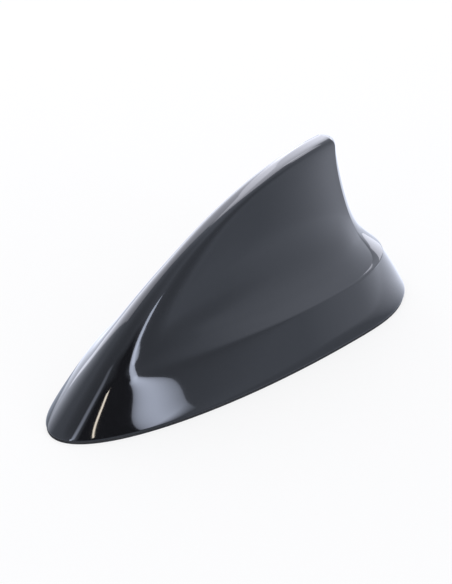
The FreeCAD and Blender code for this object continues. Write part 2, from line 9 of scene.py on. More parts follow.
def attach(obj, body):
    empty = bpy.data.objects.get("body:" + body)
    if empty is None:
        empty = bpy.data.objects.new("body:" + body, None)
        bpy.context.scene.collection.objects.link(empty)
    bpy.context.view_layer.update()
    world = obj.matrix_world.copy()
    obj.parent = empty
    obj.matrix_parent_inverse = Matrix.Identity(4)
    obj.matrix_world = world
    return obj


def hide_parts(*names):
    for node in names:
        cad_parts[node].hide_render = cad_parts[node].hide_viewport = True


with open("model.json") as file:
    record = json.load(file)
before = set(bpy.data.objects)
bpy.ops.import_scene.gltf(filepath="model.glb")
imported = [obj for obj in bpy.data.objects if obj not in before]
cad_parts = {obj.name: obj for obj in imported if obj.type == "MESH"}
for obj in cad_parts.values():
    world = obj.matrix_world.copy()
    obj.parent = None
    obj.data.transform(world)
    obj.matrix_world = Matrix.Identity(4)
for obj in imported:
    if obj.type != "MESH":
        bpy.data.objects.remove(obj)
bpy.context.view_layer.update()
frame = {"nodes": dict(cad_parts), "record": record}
MM = 0.001

# Skirt of the fin in millimetres, with x measured from the nose
FIN_LENGTH = 165
RIM_HALF_WIDTH = 33.5
RIM_HEIGHT = 1.0
RIM_ROUND = 0.3
NOSE_TO_SPIGOT = 80
WIDEST_SHARE = 0.75
TAIL_SQUARENESS = 2.3
SHOULDER = 17.4
SHOULDER_FRONT_INSET = 18.3
SHOULDER_REAR_INSET = 9.3
SHOULDER_HALF_WIDTH = 26.9
SKIRT_BULGE = 1.12

# Tip and spine
TIP_FROM_NOSE = 140.1
TIP = 61
TIP_RADIUS = 3.5
BROW_REACH = 25.4
CROWN_REACH = 58.6
SPINE_RADIUS = 3.8
LEAST_RADIUS = 1e-6
SPINE_BLEND = 4.5
SPINE_SWELL = 4.7
SWELL_RISE = 38
SPINE_POWER = 4
CROWN_START = 40
CROWN_FLATNESS = 0.65
CROWN_POWER = 3

# Flanks of the blade
BLADE_HALF_WIDTH = 4.45
FLARE_FOOT = 15.6
FLARE_RISE = 10.7
FOOT_SLOPE = 0.55
CROWN_SLOPE = 0.35
FLANK_RUNOUT = 31
FLANK_NARROWING = 4.2
NARROWING_RUN = 45
NARROWING_BLEND = 6
NARROWING_POWER = 4
NARROWING_SHARE = 0.5

# Trailing edge and crease
TAIL_FOOT_REACH = 7.2
TAIL_FOOT_SHARE = 0.2025
TAIL_LEAN = 6.1
TAIL_DROP_SHARE = 0.6
TAIL_TURN = 3
CREASE_FROM_NOSE = 114
CREASE_FOOT_REACH = 41
CREASE_FOOT_SHARE = 0.0536
CREASE_LEAN = 2.7
CREASE_DROP_SHARE = 1.1014
CREASE_TIP_INSET = 2.5

# Wall and hollow
WALL = 2.5
SPINE_WALL = 8
CROWN_DEPTH = 11
CORE_LIFT = 0.6
CORE_START = 0.3
CORE_GAP = 0.2

# How softly the shoulder line is rounded, from the nose back to the crisp rear part
SOFT_NOSE = 4.0
SOFT_REAR = 0.4
SOFT_FROM = 40
SOFT_TO = 112
SOFT_REACH = 6
SOFT_LIMIT = 0.95
SOFT_TAIL = 3
SOFT_SAMPLES = 31

# Fineness of the mesh
FLANK_STEPS = 150
REAR_STEPS = 44
CORNER_STEPS = (0.002, 0.006, 0.013)
REAR_CORNER_SPREAD = 4
SEARCH_ROUNDS = 44
SPINE_SAMPLES = 4001
SKIRT_ROWS = 34
ROWS_BELOW_SHOULDER = (0.3, 0.16, 0.07)
ROWS_ABOVE_SHOULDER = (0.05, 0.12, 0.25, 0.45, 0.7)
CREASE_ROWS = 70
SPINE_ROWS = 80
ROW_GAP = 0.08
TIP_GAP_SHARE = 0.25
LEAST_GAP = 0.0004
TIP_CLEARANCE = 0.0005
RIM_ANGLES = (0, 30, 60)
HOLLOW_SKIRT_ROWS = 6
HOLLOW_BLADE_ROWS = 12
SHARP_ANGLE = 50

BLADE_RISE = TIP - SHOULDER
DECK_REAR = FIN_LENGTH - SHOULDER_REAR_INSET
CROWN_X = TIP_FROM_NOSE - TIP_RADIUS
CREASE_TIP_X = TIP_FROM_NOSE - CREASE_TIP_INSET
BROW_SLOPE = math.atan2(SHOULDER - RIM_HEIGHT, SHOULDER_FRONT_INSET * SKIRT_BULGE)

# Control points of the curves that the fin follows
SPINE = np.array([(SHOULDER_FRONT_INSET, SHOULDER),
                  (SHOULDER_FRONT_INSET + BROW_REACH * math.cos(BROW_SLOPE),
                   SHOULDER + BROW_REACH * math.sin(BROW_SLOPE)),
                  (CROWN_X - CROWN_REACH, TIP),
                  (CROWN_X, TIP)])
TRAIL = np.array([(DECK_REAR, SHOULDER),
                  (DECK_REAR - TAIL_FOOT_REACH, SHOULDER + TAIL_FOOT_SHARE * BLADE_RISE),
                  (TIP_FROM_NOSE + TAIL_LEAN, TIP - TAIL_DROP_SHARE * BLADE_RISE),
                  (TIP_FROM_NOSE, TIP)])
CREASE = np.array([(CREASE_FROM_NOSE, SHOULDER),
                   (CREASE_FROM_NOSE + CREASE_FOOT_REACH, SHOULDER + CREASE_FOOT_SHARE * BLADE_RISE),
                   (CREASE_TIP_X + CREASE_LEAN, TIP - CREASE_DROP_SHARE * BLADE_RISE),
                   (CREASE_TIP_X, TIP)])
FLANK = np.array([(SHOULDER_HALF_WIDTH, SHOULDER),
                  (SHOULDER_HALF_WIDTH - FLARE_FOOT, SHOULDER + FOOT_SLOPE * FLARE_FOOT),
                  (BLADE_HALF_WIDTH + CROWN_SLOPE * FLARE_RISE, SHOULDER + FLARE_RISE),
                  (BLADE_HALF_WIDTH, TIP)])

# Points round each level outline, closer together beside the crease
flank_corner = [math.pi / 2 - step for step in CORNER_STEPS]
flank_angles = np.linspace(-math.pi / 2, math.pi / 2, FLANK_STEPS + 1)
flank_angles = np.unique(np.concatenate([flank_angles, flank_corner, np.negative(flank_corner)]))
rear_corner = [1 - REAR_CORNER_SPREAD * step for step in CORNER_STEPS]
rear_turns = np.linspace(-1, 1, REAR_STEPS + 1)
rear_turns = np.unique(np.concatenate([rear_turns, rear_corner, np.negative(rear_corner)]))[1:-1]


def bezier(points, t):
    """Points of a cubic curve."""
    t = np.atleast_1d(t)[:, None]
    return ((1 - t) ** 3 * points[0] + 3 * t * (1 - t) ** 2 * points[1]
            + 3 * t * t * (1 - t) * points[2] + t ** 3 * points[3])


def at_height(points, height):
    """First coordinate of a rising cubic curve where its second one equals the height."""
    low, high = 0.0, 1.0
    for _ in range(SEARCH_ROUNDS):
        middle = (low + high) / 2
        if bezier(points, middle)[0][1] < height:
            low = middle
        else:
            high = middle
    return bezier(points, (low + high) / 2)[0][0]


def ease(share):
    """Smooth rise from 0 to 1."""
    share = np.clip(share, 0, 1)
    return share * share * (3 - 2 * share)


def fullness(share):
    """Half width along an outline: 0 at the nose, 1 at the widest station and 0 at the tail."""
    share = np.clip(share, 0, 1)
    front = np.sqrt(np.clip(1 - ((WIDEST_SHARE - share) / WIDEST_SHARE) ** 2, 0, 1))
    behind = np.clip((share - WIDEST_SHARE) / (1 - WIDEST_SHARE), 0, 1) ** TAIL_SQUARENESS
    return np.where(share < WIDEST_SHARE, front, np.clip(1 - behind, 0, 1) ** (1 / TAIL_SQUARENESS))


def skirt_outline(height, inset):
    """Nose, tail and half width of the skirt at a height, moved inwards by an inset."""
    share = ((height - RIM_HEIGHT) / (SHOULDER - RIM_HEIGHT)) ** SKIRT_BULGE
    nose = SHOULDER_FRONT_INSET * share + inset
    tail = FIN_LENGTH - SHOULDER_REAR_INSET * share - inset
    half = RIM_HALF_WIDTH + (SHOULDER_HALF_WIDTH - RIM_HALF_WIDTH) * share - inset
    return nose, tail, half


base_nose, base_tail, base_half = skirt_outline(SHOULDER, 0)
MERGE_SHARE = (CREASE_FROM_NOSE - base_nose) / (base_tail - base_nose)
spine_line = bezier(SPINE, np.linspace(0, 1, SPINE_SAMPLES))
spine_slope = np.gradient(spine_line[:, 1], spine_line[:, 0])


def flank_points(nose, tail, half, end_share):
    """Points of an outline from one flank round the nose to the other flank."""
    share = end_share * (1 - np.cos(flank_angles))
    return np.column_stack([nose + (tail - nose) * share, half * fullness(share) * np.sign(flank_angles)])


def rear_points(nose, tail, half):
    """Points of an outline from one flank round the tail to the other flank."""
    start = math.acos(1 - 2 * MERGE_SHARE)
    share = (1 - np.cos(math.pi + (start - math.pi) * np.abs(rear_turns))) / 2
    return np.column_stack([nose + (tail - nose) * share, -half * fullness(share) * np.sign(rear_turns)])


def skirt_loop(height, inset=0.0):
    """Closed outline of the skirt at a height."""
    nose, tail, half = skirt_outline(height, inset)
    return np.vstack([flank_points(nose, tail, half, MERGE_SHARE), rear_points(nose, tail, half)])


def blade_flank(height, nose, back, inset=0.0):
    """Flared flanks of the blade at a height, from a nose to a back."""
    far = DECK_REAR + FLANK_RUNOUT * (height - SHOULDER) / BLADE_RISE
    return flank_points(nose, far, at_height(FLANK, height) - inset, (back - nose) / (far - nose))


def swell(height):
    """How much of the spine's swelling towards its foot there is at a height."""
    return 1 - ease((height - SHOULDER) / SWELL_RISE)


def spine_half_width(station, height):
    """Half width of the round spine at a height, by its depth under the spine line."""
    radius = (SPINE_RADIUS + SPINE_SWELL * swell(height)) * ease((height - SHOULDER) / SPINE_BLEND)
    radius += LEAST_RADIUS
    crown = ease((height - CROWN_START) / (TIP - CROWN_START))
    flatness = 1 + (CROWN_FLATNESS - 1) * crown
    power = 2 + (CROWN_POWER - 2) * crown
    slope = np.interp(station, spine_line[:, 0], spine_slope)
    drop = np.interp(station, spine_line[:, 0], spine_line[:, 1]) - height
    depth = np.clip(drop / np.sqrt(1 + slope ** 2) / (radius * flatness), 0, 1)
    return radius * (1 - (1 - depth) ** power) ** (1 / power)


def tip_cut(height):
    """How far the rounding of the tip takes the trailing edge forward."""
    above = max(height - (TIP - TIP_RADIUS), 0.0)
    return TIP_RADIUS - math.sqrt(max(TIP_RADIUS ** 2 - above ** 2, 0.0))


def crease_station(height):
    """Where the crease stands at a height; it meets the trailing edge in the rounding of the tip."""
    cut = tip_cut(height)
    return at_height(CREASE, height) - cut + CREASE_TIP_INSET * (cut / TIP_RADIUS) ** 2


def narrowing(station, height):
    """How far the flanks draw in towards the crease, less than a share of the blade's half width."""
    most = NARROWING_SHARE * at_height(FLANK, height)
    depth = (FLANK_NARROWING ** -NARROWING_POWER + most ** -NARROWING_POWER) ** (-1 / NARROWING_POWER)
    near = np.clip(1 - (crease_station(height) - station) / NARROWING_RUN, 0, None)
    return depth * ease((height - SHOULDER) / NARROWING_BLEND) * near ** NARROWING_POWER


def blade_loop(height):
    """Closed outline of the blade at a height."""
    crease = crease_station(height)
    trail = at_height(TRAIL, height) - tip_cut(height)
    flank = blade_flank(height, at_height(SPINE, height), crease)
    body = np.clip(np.abs(flank[:, 1]) - narrowing(flank[:, 0], height), 0, None)
    round_spine = spine_half_width(flank[:, 0], height)
    width = (body ** SPINE_POWER + round_spine ** SPINE_POWER) ** (1 / SPINE_POWER)
    flank[:, 1] = width * np.sign(flank_angles)
    base = rear_points(base_nose, base_tail, base_half)
    base_x = (base[:, 0] - CREASE_FROM_NOSE) / (base_tail - CREASE_FROM_NOSE)
    base_y = base[:, 1] / (base_half * fullness(MERGE_SHARE))
    round_y = -np.sin(rear_turns * math.pi / 2)
    share = math.exp(-(height - SHOULDER) / TAIL_TURN)
    rear_x = base_x * share + (1 - round_y ** 2) * (1 - share)
    rear_y = base_y * share + round_y * (1 - share)
    rear = np.column_stack([crease + rear_x * (trail - crease), rear_y * flank[-1, 1]])
    return np.vstack([flank, rear])


def core_loop(height):
    """Closed outline of the hollow inside the blade, for the outside at a height."""
    back = min(at_height(CREASE, height), at_height(TRAIL, height)) - WALL
    flank = blade_flank(height, at_height(SPINE, height) + SPINE_WALL, back, WALL)
    flank[:, 1] *= 1 - narrowing(flank[:, 0], height) / at_height(FLANK, height)
    rear_y = np.linspace(flank[-1, 1], flank[0, 1], len(rear_turns) + 2)[1:-1]
    return np.vstack([flank, np.column_stack([np.full(len(rear_y), back), rear_y])])


def level(loop, height):
    """Outline at a height as points of the part's frame, in millimetres."""
    return np.column_stack([loop[:, 0] - NOSE_TO_SPIGOT, loop[:, 1], np.full(len(loop), height)])


def blade_heights():
    """Heights of the blade's rows: even steps along its crease and even steps along its spine."""
    crease = bezier(CREASE, np.linspace(0, 1, CREASE_ROWS))[:, 1]
    spine = bezier(SPINE, np.linspace(0, 1, SPINE_ROWS))[:, 1]
    near_shoulder = SHOULDER + np.array(ROWS_ABOVE_SHOULDER)
    heights = [SHOULDER]
    for height in np.sort(np.concatenate([crease, spine, near_shoulder])):
        gap = min(ROW_GAP, max((TIP - height) * TIP_GAP_SHARE, LEAST_GAP))
        if height - heights[-1] > gap and height < TIP - TIP_CLEARANCE:
            heights.append(height)
    return heights


def soften_shoulder(rows, shoulder_row):
    """Round the shoulder line of a grid of rows, widely at the nose and tightly behind."""
    grid = np.array(rows)
    result = grid.copy()
    steps = np.linspace(-SOFT_TAIL, SOFT_TAIL, SOFT_SAMPLES)
    weights = np.exp(-steps ** 2 / 2)
    weights /= weights.sum()
    for column in range(grid.shape[1]):
        line = grid[:, column]
        length = np.concatenate([[0], np.cumsum(np.linalg.norm(np.diff(line, axis=0), axis=1))])
        middle = length[shoulder_row]
        station = line[shoulder_row, 0] + NOSE_TO_SPIGOT
        behind = ease((station - SOFT_FROM) / (SOFT_TO - SOFT_FROM))
        spread = SOFT_NOSE + (SOFT_REAR - SOFT_NOSE) * behind
        reach = min(SOFT_REACH * spread, SOFT_LIMIT * middle)
        pull = ease(2 - 2 * np.abs(length - middle) / reach)
        spots = length[:, None] + spread * steps[None, :]
        for axis in range(3):
            smooth = np.interp(spots, length, line[:, axis]) @ weights
            result[:, column, axis] = line[:, axis] + pull * (smooth - line[:, axis])
    return result


def outside_rows():
    """Rows of the cover's outside, from the rim up to the tip."""
    heights = list(np.linspace(RIM_HEIGHT + RIM_ROUND, SHOULDER, SKIRT_ROWS))[:-1]
    heights += [SHOULDER - gap for gap in ROWS_BELOW_SHOULDER]
    heights.append(SHOULDER)
    skirt = [level(skirt_loop(height), height) for height in heights]
    blade = [level(blade_loop(height), height) for height in blade_heights()[1:]]
    return list(soften_shoulder(skirt + blade, len(skirt) - 1))


def rim_rows():
    """Rows of the small rounding between the rim's lower face and the outside."""
    rows = []
    for angle in np.radians(RIM_ANGLES):
        inset = RIM_ROUND * (1 - math.sin(angle))
        height = RIM_HEIGHT + RIM_ROUND * (1 - math.cos(angle))
        rows.append(level(skirt_loop(RIM_HEIGHT + RIM_ROUND, inset), height))
    return rows


def inside_rows():
    """Rows of the cover's hollow, from the rim upwards."""
    core_top = SHOULDER - WALL
    rows = []
    for height in np.linspace(RIM_HEIGHT, core_top, HOLLOW_SKIRT_ROWS):
        outer = min(height + CORE_LIFT * WALL, SHOULDER)
        rows.append(level(skirt_loop(outer, WALL), height))
    first = bezier(CREASE, CORE_START)[0][1]
    rows.append(level(core_loop(first), core_top))
    for outer in np.linspace(first, TIP - CROWN_DEPTH + WALL, HOLLOW_BLADE_ROWS):
        if outer - WALL > core_top + CORE_GAP:
            rows.append(level(core_loop(outer), outer - WALL))
    return rows


def new_object(name, vertices, faces, smooth=True):
    """Mesh object from points in millimetres."""
    mesh = bpy.data.meshes.new(name)
    mesh.from_pydata([tuple(point) for point in np.asarray(vertices) * MM], [], faces)
    mesh.validate()
    mesh.polygons.foreach_set("use_smooth", [smooth] * len(mesh.polygons))
    item = bpy.data.objects.new(name, mesh)
    bpy.context.scene.collection.objects.link(item)
    return item


def stack(rows):
    """Faces between rows of equal length, closed round each row."""
    count = len(rows[0])
    faces = []
    for start in range(0, (len(rows) - 1) * count, count):
        for index in range(count):
            after = (index + 1) % count
            faces.append((start + index, start + count + index, start + count + after, start + after))
    return faces


def make_fin_cover():
    """Hollow fin cover as one closed mesh: inside, rim and outside in one stack of rows."""
    rows = inside_rows()[::-1] + rim_rows() + outside_rows()
    faces = stack(rows)
    vertices = list(np.vstack(rows))
    count = len(rows[0])
    for row, order in ((0, 1), (len(rows) - 1, -1)):
        centre = len(vertices)
        vertices.append(rows[row].mean(axis=0))
        start = row * count
        for index in range(count):
            after = (index + 1) % count
            faces.append((start + index, start + after, centre)[::order])
    item = new_object("fin_shell", vertices, faces)
    item.data.set_sharp_from_angle(angle=math.radians(SHARP_ANGLE))
    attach(item, "root")
    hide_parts("fin_cover")
    return item


# Materials

NOISE_RANGE = (0.3, 0.7)


def new_material(name):
    """Material with a plain shader, and its node tree."""
    material = bpy.data.materials.new(name)
    material.use_nodes = True
    tree = material.node_tree
    return material, tree, tree.nodes["Principled BSDF"]


def place_texture(tree, kind, **values):
    """Texture node in the object's own coordinates."""
    texture = tree.nodes.new(kind)
    for socket, value in values.items():
        texture.inputs[socket.replace("_", " ")].default_value = value
    coordinates = tree.nodes.new("ShaderNodeTexCoord")
    tree.links.new(coordinates.outputs["Object"], texture.inputs["Vector"])
    return texture


def ramp(tree, source, low, high, start=0.0, end=1.0):
    """Map a value between start and end to a range of numbers or colours."""
    if isinstance(low, tuple):
        node = tree.nodes.new("ShaderNodeValToRGB")
        first, last = node.color_ramp.elements
        first.position, last.position = start, end
        first.color, last.color = (*low, 1), (*high, 1)
        tree.links.new(source, node.inputs["Fac"])
        return node.outputs["Color"]
    node = tree.nodes.new("ShaderNodeMapRange")
    for socket, value in (("From Min", start), ("From Max", end), ("To Min", low), ("To Max", high)):
        node.inputs[socket].default_value = value
    tree.links.new(source, node.inputs["Value"])
    return node.outputs["Result"]


def bump(tree, shader, source, strength, distance):
    """Bump a shader's normal with a texture, by a distance in metres."""
    node = tree.nodes.new("ShaderNodeBump")
    node.inputs["Strength"].default_value = strength
    node.inputs["Distance"].default_value = distance
    tree.links.new(source, node.inputs["Height"])
    tree.links.new(node.outputs["Normal"], shader.inputs["Normal"])


def make_gloss():
    """Black lacquer with faint orange peel, slight haze and sparse dust."""
    material, tree, shader = new_material("fin_gloss")
    dust_colour = (0.05, 0.052, 0.056)
    lacquer = (0.0085, 0.0088, 0.0098)
    dust = place_texture(tree, "ShaderNodeTexVoronoi", Scale=260.0, Randomness=1.0)
    colour = ramp(tree, dust.outputs["Distance"], dust_colour, lacquer, start=0.02, end=0.05)
    tree.links.new(colour, shader.inputs["Base Color"])
    haze = place_texture(tree, "ShaderNodeTexNoise", Scale=60.0, Detail=5.0, Roughness=0.6)
    roughness = ramp(tree, haze.outputs["Fac"], 0.045, 0.075, *NOISE_RANGE)
    tree.links.new(roughness, shader.inputs["Roughness"])
    shader.inputs["IOR"].default_value = 1.5
    shader.inputs["Coat Weight"].default_value = 1.0
    shader.inputs["Coat Roughness"].default_value = 0.03
    peel = place_texture(tree, "ShaderNodeTexNoise", Scale=420.0, Detail=1.5, Roughness=0.5)
    bump(tree, shader, peel.outputs["Fac"], strength=0.05, distance=0.00005)
    return material


def make_rubber():
    """Matt moulded rubber with a fine grain and a chalky bloom."""
    material, tree, shader = new_material("seal_rubber")
    black = (0.016, 0.016, 0.017)
    chalky = (0.042, 0.042, 0.044)
    bloom = place_texture(tree, "ShaderNodeTexNoise", Scale=90.0, Detail=6.0, Roughness=0.65)
    colour = ramp(tree, bloom.outputs["Fac"], black, chalky, start=0.3, end=0.75)
    tree.links.new(colour, shader.inputs["Base Color"])
    roughness = ramp(tree, bloom.outputs["Fac"], 0.6, 0.85, *NOISE_RANGE)
    tree.links.new(roughness, shader.inputs["Roughness"])
    grain = place_texture(tree, "ShaderNodeTexNoise", Scale=2500.0, Detail=2.0)
    bump(tree, shader, grain.outputs["Fac"], strength=0.4, distance=0.00005)
    return material


def make_metal(name, dark, light, rough, fine, grain_scale, grain_depth):
    """Bare metal with a mottled tone, uneven roughness and a surface grain."""
    material, tree, shader = new_material(name)
    shader.inputs["Metallic"].default_value = 1.0
    mottle = place_texture(tree, "ShaderNodeTexNoise", Scale=140.0, Detail=6.0, Roughness=0.6)
    colour = ramp(tree, mottle.outputs["Fac"], dark, light, *NOISE_RANGE)
    tree.links.new(colour, shader.inputs["Base Color"])
    roughness = ramp(tree, mottle.outputs["Fac"], rough, fine, *NOISE_RANGE)
    tree.links.new(roughness, shader.inputs["Roughness"])
    grain = place_texture(tree, "ShaderNodeTexNoise", Scale=grain_scale, Detail=3.0)
    bump(tree, shader, grain.outputs["Fac"], strength=0.5, distance=grain_depth)
    return material


def make_laminate():
    """Green solder mask over the weave of a glass laminate."""
    material, tree, shader = new_material("board_laminate")
    weave = place_texture(tree, "ShaderNodeTexBrick", Scale=900.0)
    weave.inputs["Color1"].default_value = (0.010, 0.115, 0.045, 1)
    weave.inputs["Color2"].default_value = (0.013, 0.135, 0.055, 1)
    weave.inputs["Mortar"].default_value = (0.008, 0.085, 0.034, 1)
    tree.links.new(weave.outputs["Color"], shader.inputs["Base Color"])
    cloud = place_texture(tree, "ShaderNodeTexNoise", Scale=120.0, Detail=4.0)
    roughness = ramp(tree, cloud.outputs["Fac"], 0.25, 0.4, *NOISE_RANGE)
    tree.links.new(roughness, shader.inputs["Roughness"])
    bump(tree, shader, weave.outputs["Fac"], strength=0.2, distance=0.00003)
    return material


def make_ceramic():
    """Fired ceramic, speckled and slightly rough."""
    material, tree, shader = new_material("patch_ceramic")
    dark = (0.60, 0.53, 0.43)
    pale = (0.78, 0.72, 0.62)
    speckle = place_texture(tree, "ShaderNodeTexNoise", Scale=700.0, Detail=5.0, Roughness=0.7)
    colour = ramp(tree, speckle.outputs["Fac"], dark, pale, start=0.35, end=0.65)
    tree.links.new(colour, shader.inputs["Base Color"])
    roughness = ramp(tree, speckle.outputs["Fac"], 0.45, 0.65, *NOISE_RANGE)
    tree.links.new(roughness, shader.inputs["Roughness"])
    bump(tree, shader, speckle.outputs["Fac"], strength=0.3, distance=0.00003)
    return material


materials = {
    "fin_gloss": make_gloss(),
    "seal_rubber": make_rubber(),
    "base_casting": make_metal("base_casting", dark=(0.50, 0.51, 0.52), light=(0.68, 0.69, 0.70),
                               rough=0.55, fine=0.4, grain_scale=1600.0, grain_depth=0.00006),
    "screw_steel": make_metal("screw_steel", dark=(0.52, 0.53, 0.55), light=(0.66, 0.66, 0.66),
                              rough=0.4, fine=0.25, grain_scale=2600.0, grain_depth=0.00002),
    "board_laminate": make_laminate(),
    "patch_ceramic": make_ceramic(),
    "contact_brass": make_metal("contact_brass", dark=(0.66, 0.47, 0.20), light=(0.78, 0.60, 0.31),
                                rough=0.35, fine=0.22, grain_scale=2200.0, grain_depth=0.00002),
    "tinned_sheet": make_metal("tinned_sheet", dark=(0.60, 0.60, 0.58), light=(0.76, 0.76, 0.74),
                               rough=0.4, fine=0.28, grain_scale=1800.0, grain_depth=0.00003),
}


def dress(item, slot):
    """Give an object the material of a slot."""
    item.data.materials.clear()
    item.data.materials.append(materials[slot])


for entry in frame["record"]["subparts"]:
    dress(frame["nodes"][entry["node"]], entry["material_slot"])
dress(make_fin_cover(), "fin_gloss")


# Room: dim and bluish with a bright wall beyond the tail, seen only in reflections; angles in degrees

ROOM_COLOUR = (0.46, 0.51, 0.62)
BRIGHT_COLOUR = (1.34, 1.42, 1.66)
BRIGHT_AZIMUTH = 122
BRIGHT_CORE = 52
BRIGHT_EDGE = 87
BRIGHT_LOWNESS = 2.4


def direction(azimuth, elevation):
    """Unit vector from the object towards an azimuth and elevation in degrees."""
    a = math.radians(azimuth)
    e = math.radians(elevation)
    return Vector((math.sin(a) * math.cos(e), -math.cos(a) * math.cos(e), math.sin(e)))


def vector_node(tree, operation, first, second=None):
    """Vector operation on a linked vector and a fixed one."""
    node = tree.nodes.new("ShaderNodeVectorMath")
    node.operation = operation
    tree.links.new(first, node.inputs[0])
    if second is not None:
        node.inputs[1].default_value = second
    return node.outputs["Value" if operation in ("DOT_PRODUCT", "LENGTH") else "Vector"]


def angle_ramp(tree, facing, inner, outer, inside=1.0, outside=0.0):
    """Tone between two angles from a direction, by the cosine of the angle."""
    return ramp(tree, facing, outside, inside, math.cos(math.radians(outer)), math.cos(math.radians(inner)))


def room_tone(tree, towards, edge):
    """Colour of the room in a direction, with the bright wall at low elevations on its own side."""
    lowered = vector_node(tree, "MULTIPLY", towards, (1, 1, BRIGHT_LOWNESS))
    unit = vector_node(tree, "NORMALIZE", lowered)
    facing = vector_node(tree, "DOT_PRODUCT", unit, direction(BRIGHT_AZIMUTH, 0))
    return angle_ramp(tree, facing, BRIGHT_CORE, edge, BRIGHT_COLOUR, ROOM_COLOUR)


def product(tree, first, second):
    """Product of two linked numbers."""
    node = tree.nodes.new("ShaderNodeMath")
    node.operation = "MULTIPLY"
    tree.links.new(first, node.inputs[0])
    tree.links.new(second, node.inputs[1])
    return node.outputs["Value"]


def mix_shaders(tree, share, first, second):
    """Mix of two shaders by a share."""
    mix = tree.nodes.new("ShaderNodeMixShader")
    tree.links.new(share, mix.inputs["Fac"])
    tree.links.new(first, mix.inputs[1])
    tree.links.new(second, mix.inputs[2])
    return mix.outputs["Shader"]


# Floor: white card that keeps a soft shadow, and takes the tones of the room in reflections

FLOOR_REACH = 3000
FLOOR_WHITE = 0.95
FLOOR_ROUGHNESS = 0.9
FLOOR_GLOW = 0.8
FLOOR_EDGE = 87.5
FLOOR_SHIFT = (-0.04, 0.06)
SHIFT_RUN = (0.0, 0.05)
# Painted shade: the floor's tone in reflections is dimmed to this share near the object
NEAR_FLOOR_SHADE = 0.8
NEAR_RUN = (0.08, 0.6)


def make_floor():
    """Floor under the object, with its own look for the camera and for reflections."""
    corners = [(FLOOR_REACH * x, FLOOR_REACH * y, 0) for x, y in ((-1, -1), (1, -1), (1, 1), (-1, 1))]
    item = new_object("floor", corners, [(0, 1, 2, 3)], smooth=False)
    material, tree, shader = new_material("white_card")
    shader.inputs["Base Color"].default_value = (FLOOR_WHITE, FLOOR_WHITE, FLOOR_WHITE, 1)
    shader.inputs["Roughness"].default_value = FLOOR_ROUGHNESS
    shader.inputs["Specular IOR Level"].default_value = 0.0
    white = tree.nodes.new("ShaderNodeEmission")
    mirrored = tree.nodes.new("ShaderNodeEmission")
    coordinates = tree.nodes.new("ShaderNodeTexCoord")
    spot = tree.nodes.new("ShaderNodeSeparateXYZ")
    tree.links.new(coordinates.outputs["Object"], spot.inputs["Vector"])
    shifted = tree.nodes.new("ShaderNodeMath")
    shifted.operation = "ADD"
    tree.links.new(spot.outputs["X"], shifted.inputs[0])
    tree.links.new(ramp(tree, spot.outputs["Y"], *FLOOR_SHIFT, *SHIFT_RUN), shifted.inputs[1])
    outwards = tree.nodes.new("ShaderNodeCombineXYZ")
    tree.links.new(shifted.outputs["Value"], outwards.inputs["X"])
    tree.links.new(spot.outputs["Y"], outwards.inputs["Y"])
    tree.links.new(room_tone(tree, outwards.outputs["Vector"], FLOOR_EDGE), mirrored.inputs["Color"])
    distance = vector_node(tree, "LENGTH", coordinates.outputs["Object"])
    # Painted shade round the object: reflected floor tone darker close by, full from NEAR_RUN's far end
    tree.links.new(ramp(tree, distance, NEAR_FLOOR_SHADE, 1.0, *NEAR_RUN), mirrored.inputs["Strength"])
    rays = tree.nodes.new("ShaderNodeLightPath")
    seen = ramp(tree, rays.outputs["Is Camera Ray"], 0.0, FLOOR_GLOW)
    card = mix_shaders(tree, seen, shader.outputs["BSDF"], white.outputs["Emission"])
    card = mix_shaders(tree, rays.outputs["Is Glossy Ray"], card, mirrored.outputs["Emission"])
    tree.links.new(card, tree.nodes["Material Output"].inputs["Surface"])
    item.data.materials.append(material)


make_floor()


# Lamps: softbox strips, each graded from its foot to its head and from its middle to its sides

AIM = Vector((-0.044, -0.012, 0.014))
LAMP_DISTANCE = 1.5
NEAR_LAMP = 1.2
COOL = (0.74, 0.81, 1.0)
WARM = (1.0, 0.9, 0.76)
LILAC = (0.9, 0.9, 1.0)


def place(azimuth, elevation, distance=LAMP_DISTANCE):
    """Point at a direction and distance from the object."""
    return AIM + direction(azimuth, elevation) * distance


def add_lamp(name, foot, head, width, tones, side_share, colour, foot_fade=None, head_fade=None):
    """Strip lamp between two points, turned to the object, with the tones of its face at foot and head.

    The sides have a share of the middle's tone, and the ends fade out between two shares of the length.
    The result is the direction of the lamp's width.
    """
    lamp = bpy.data.lights.new(name, "AREA")
    lamp.shape = "RECTANGLE"
    along = head - foot
    lamp.size = width
    lamp.size_y = along.length
    lamp.energy = math.pi * lamp.size * lamp.size_y
    lamp.color = colour
    lamp.use_nodes = True
    tree = lamp.node_tree
    tree.nodes.clear()
    face = tree.nodes.new("ShaderNodeNewGeometry")
    spot = tree.nodes.new("ShaderNodeSeparateXYZ")
    tree.links.new(face.outputs["Parametric"], spot.inputs["Vector"])
    tone = ramp(tree, spot.outputs["Y"], *tones)
    if foot_fade:
        tone = product(tree, tone, ramp(tree, spot.outputs["Y"], 0.0, 1.0, *foot_fade))
    if head_fade:
        tone = product(tree, tone, ramp(tree, spot.outputs["Y"], 1.0, 0.0, *head_fade))
    offset = ramp(tree, spot.outputs["X"], -1.0, 1.0)
    squared = product(tree, offset, offset)
    graded = product(tree, tone, ramp(tree, squared, 1.0, side_share))
    glow = tree.nodes.new("ShaderNodeEmission")
    tree.links.new(graded, glow.inputs["Strength"])
    output = tree.nodes.new("ShaderNodeOutputLight")
    tree.links.new(glow.outputs["Emission"], output.inputs["Surface"])
    item = bpy.data.objects.new(name, lamp)
    item.location = (foot + head) / 2
    up = along.normalized()
    outwards = item.location - AIM
    outwards = (outwards - up * outwards.dot(up)).normalized()
    turn = Matrix((up.cross(outwards), up, outwards)).transposed()
    item.rotation_euler = turn.to_euler()
    item.visible_camera = False
    bpy.context.scene.collection.objects.link(item)
    return turn.col[0].copy()


